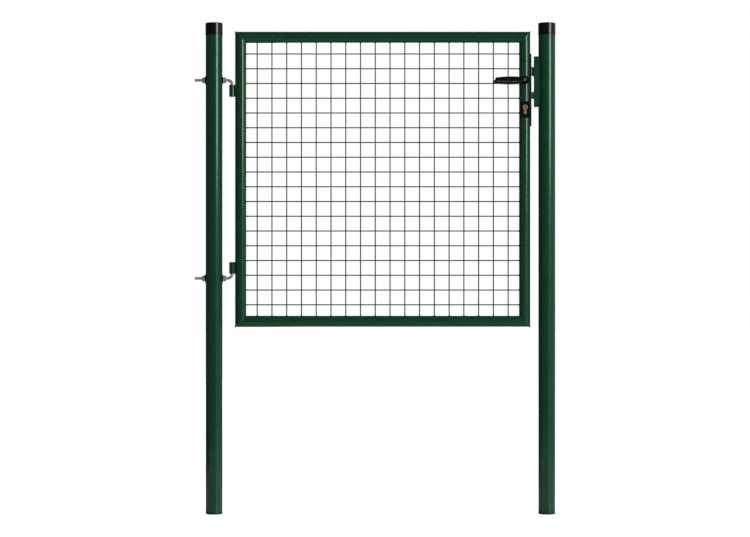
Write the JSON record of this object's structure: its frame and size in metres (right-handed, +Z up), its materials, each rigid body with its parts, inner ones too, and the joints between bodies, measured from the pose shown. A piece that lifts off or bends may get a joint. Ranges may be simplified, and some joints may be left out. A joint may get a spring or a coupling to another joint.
{
  "type": "single-leaf mesh panel gate",
  "caption": "Single-leaf tube gate with square wire mesh between round posts, on adjustable hook hinges, with a cylinder lock and a lever on each side.",
  "frame": {"origin": "on the hinge post's axis, at its foot", "axes": "+Z up along the posts, +X from the hinge post to the latch post, -Y towards the front, from which the hinges are on the left"},
  "size_m": [1.2221, 0.116, 1.663],
  "materials": {
    "moss_green_coat": "smooth glossy moss-green powder coat over galvanised steel",
    "black_coat": "satin black powder coat",
    "black_plastic": "satin black moulded plastic",
    "zinc_plate": "bright zinc plate, slightly dulled",
    "bright_steel": "nickel-plated steel",
    "brass": "machined brass"
  },
  "bodies": {
    "posts": {"hinge_post": "moss_green_coat", "hinge_post_cap": "black_plastic", "latch_post": "moss_green_coat", "latch_post_cap": "black_plastic", "strike_keep": "moss_green_coat", "upper_hinge_hook": "zinc_plate", "lower_hinge_hook": "zinc_plate", "hinge_nuts": "zinc_plate", "hinge_washers": "zinc_plate", "saddle_washers": "black_plastic"},
    "leaf": {"hinge_stile": "moss_green_coat", "latch_stile": "moss_green_coat", "top_rail": "moss_green_coat", "bottom_rail": "moss_green_coat", "vertical_wires": "moss_green_coat", "horizontal_wires": "moss_green_coat", "upper_hinge_eye": "moss_green_coat", "lower_hinge_eye": "moss_green_coat", "lock_case": "bright_steel", "lock_cover": "bright_steel", "case_rivets": "bright_steel", "lock_forend": "black_coat", "forend_screws": "zinc_plate", "front_rosette": "black_plastic", "back_rosette": "black_plastic", "front_escutcheon": "black_plastic", "back_escutcheon": "black_plastic", "cylinder_body": "brass", "driver_pins": "brass", "cylinder_screw": "zinc_plate"},
    "handle": {"front_lever": "black_plastic", "back_lever": "black_plastic", "spindle": "bright_steel", "latch_follower": "bright_steel", "lever_grub_screws": "bright_steel"},
    "latch": {"latch_bolt": "bright_steel", "latch_spring": "bright_steel"},
    "bolt": {"dead_bolt": "bright_steel"},
    "key_plugs": {"front_plug": "brass", "back_plug": "brass", "lock_cam": "bright_steel", "key_pins": "brass"}
  },
  "joints": [
    {"name": "leaf_swing", "type": "hinge", "parent": "posts", "child": "leaf", "pos_m": [0.061, 0, 0.833], "axis": [0, 0, 1], "range_deg": [-110, 110]},
    {"name": "lever_turn", "type": "hinge", "parent": "leaf", "child": "handle", "pos_m": [1.052, 0, 1.468], "axis": [0, -1, 0], "range_deg": [0, 40], "stiffness_Nm_per_rad": 0.5, "springref_deg": -40.11},
    {"name": "latch_slide", "type": "slide", "parent": "leaf", "child": "latch", "axis": [-1, 0, 0], "range_m": [0, 0.0125], "deforming": ["latch_spring"]},
    {"name": "key_turn", "type": "hinge", "parent": "leaf", "child": "key_plugs", "pos_m": [1.052, 0, 1.376], "axis": [0, -1, 0], "range_deg": [0, 360]},
    {"name": "bolt_slide", "type": "slide", "parent": "leaf", "child": "bolt", "axis": [-1, 0, 0], "range_m": [0, 0.018]}
  ],
  "couplings": [
    {"joint": "latch_slide", "follows": "lever_turn", "m_per_rad": 0.017189},
    {"joint": "key_turn", "follows": "bolt_slide", "rad_per_m": 349}
  ]
}
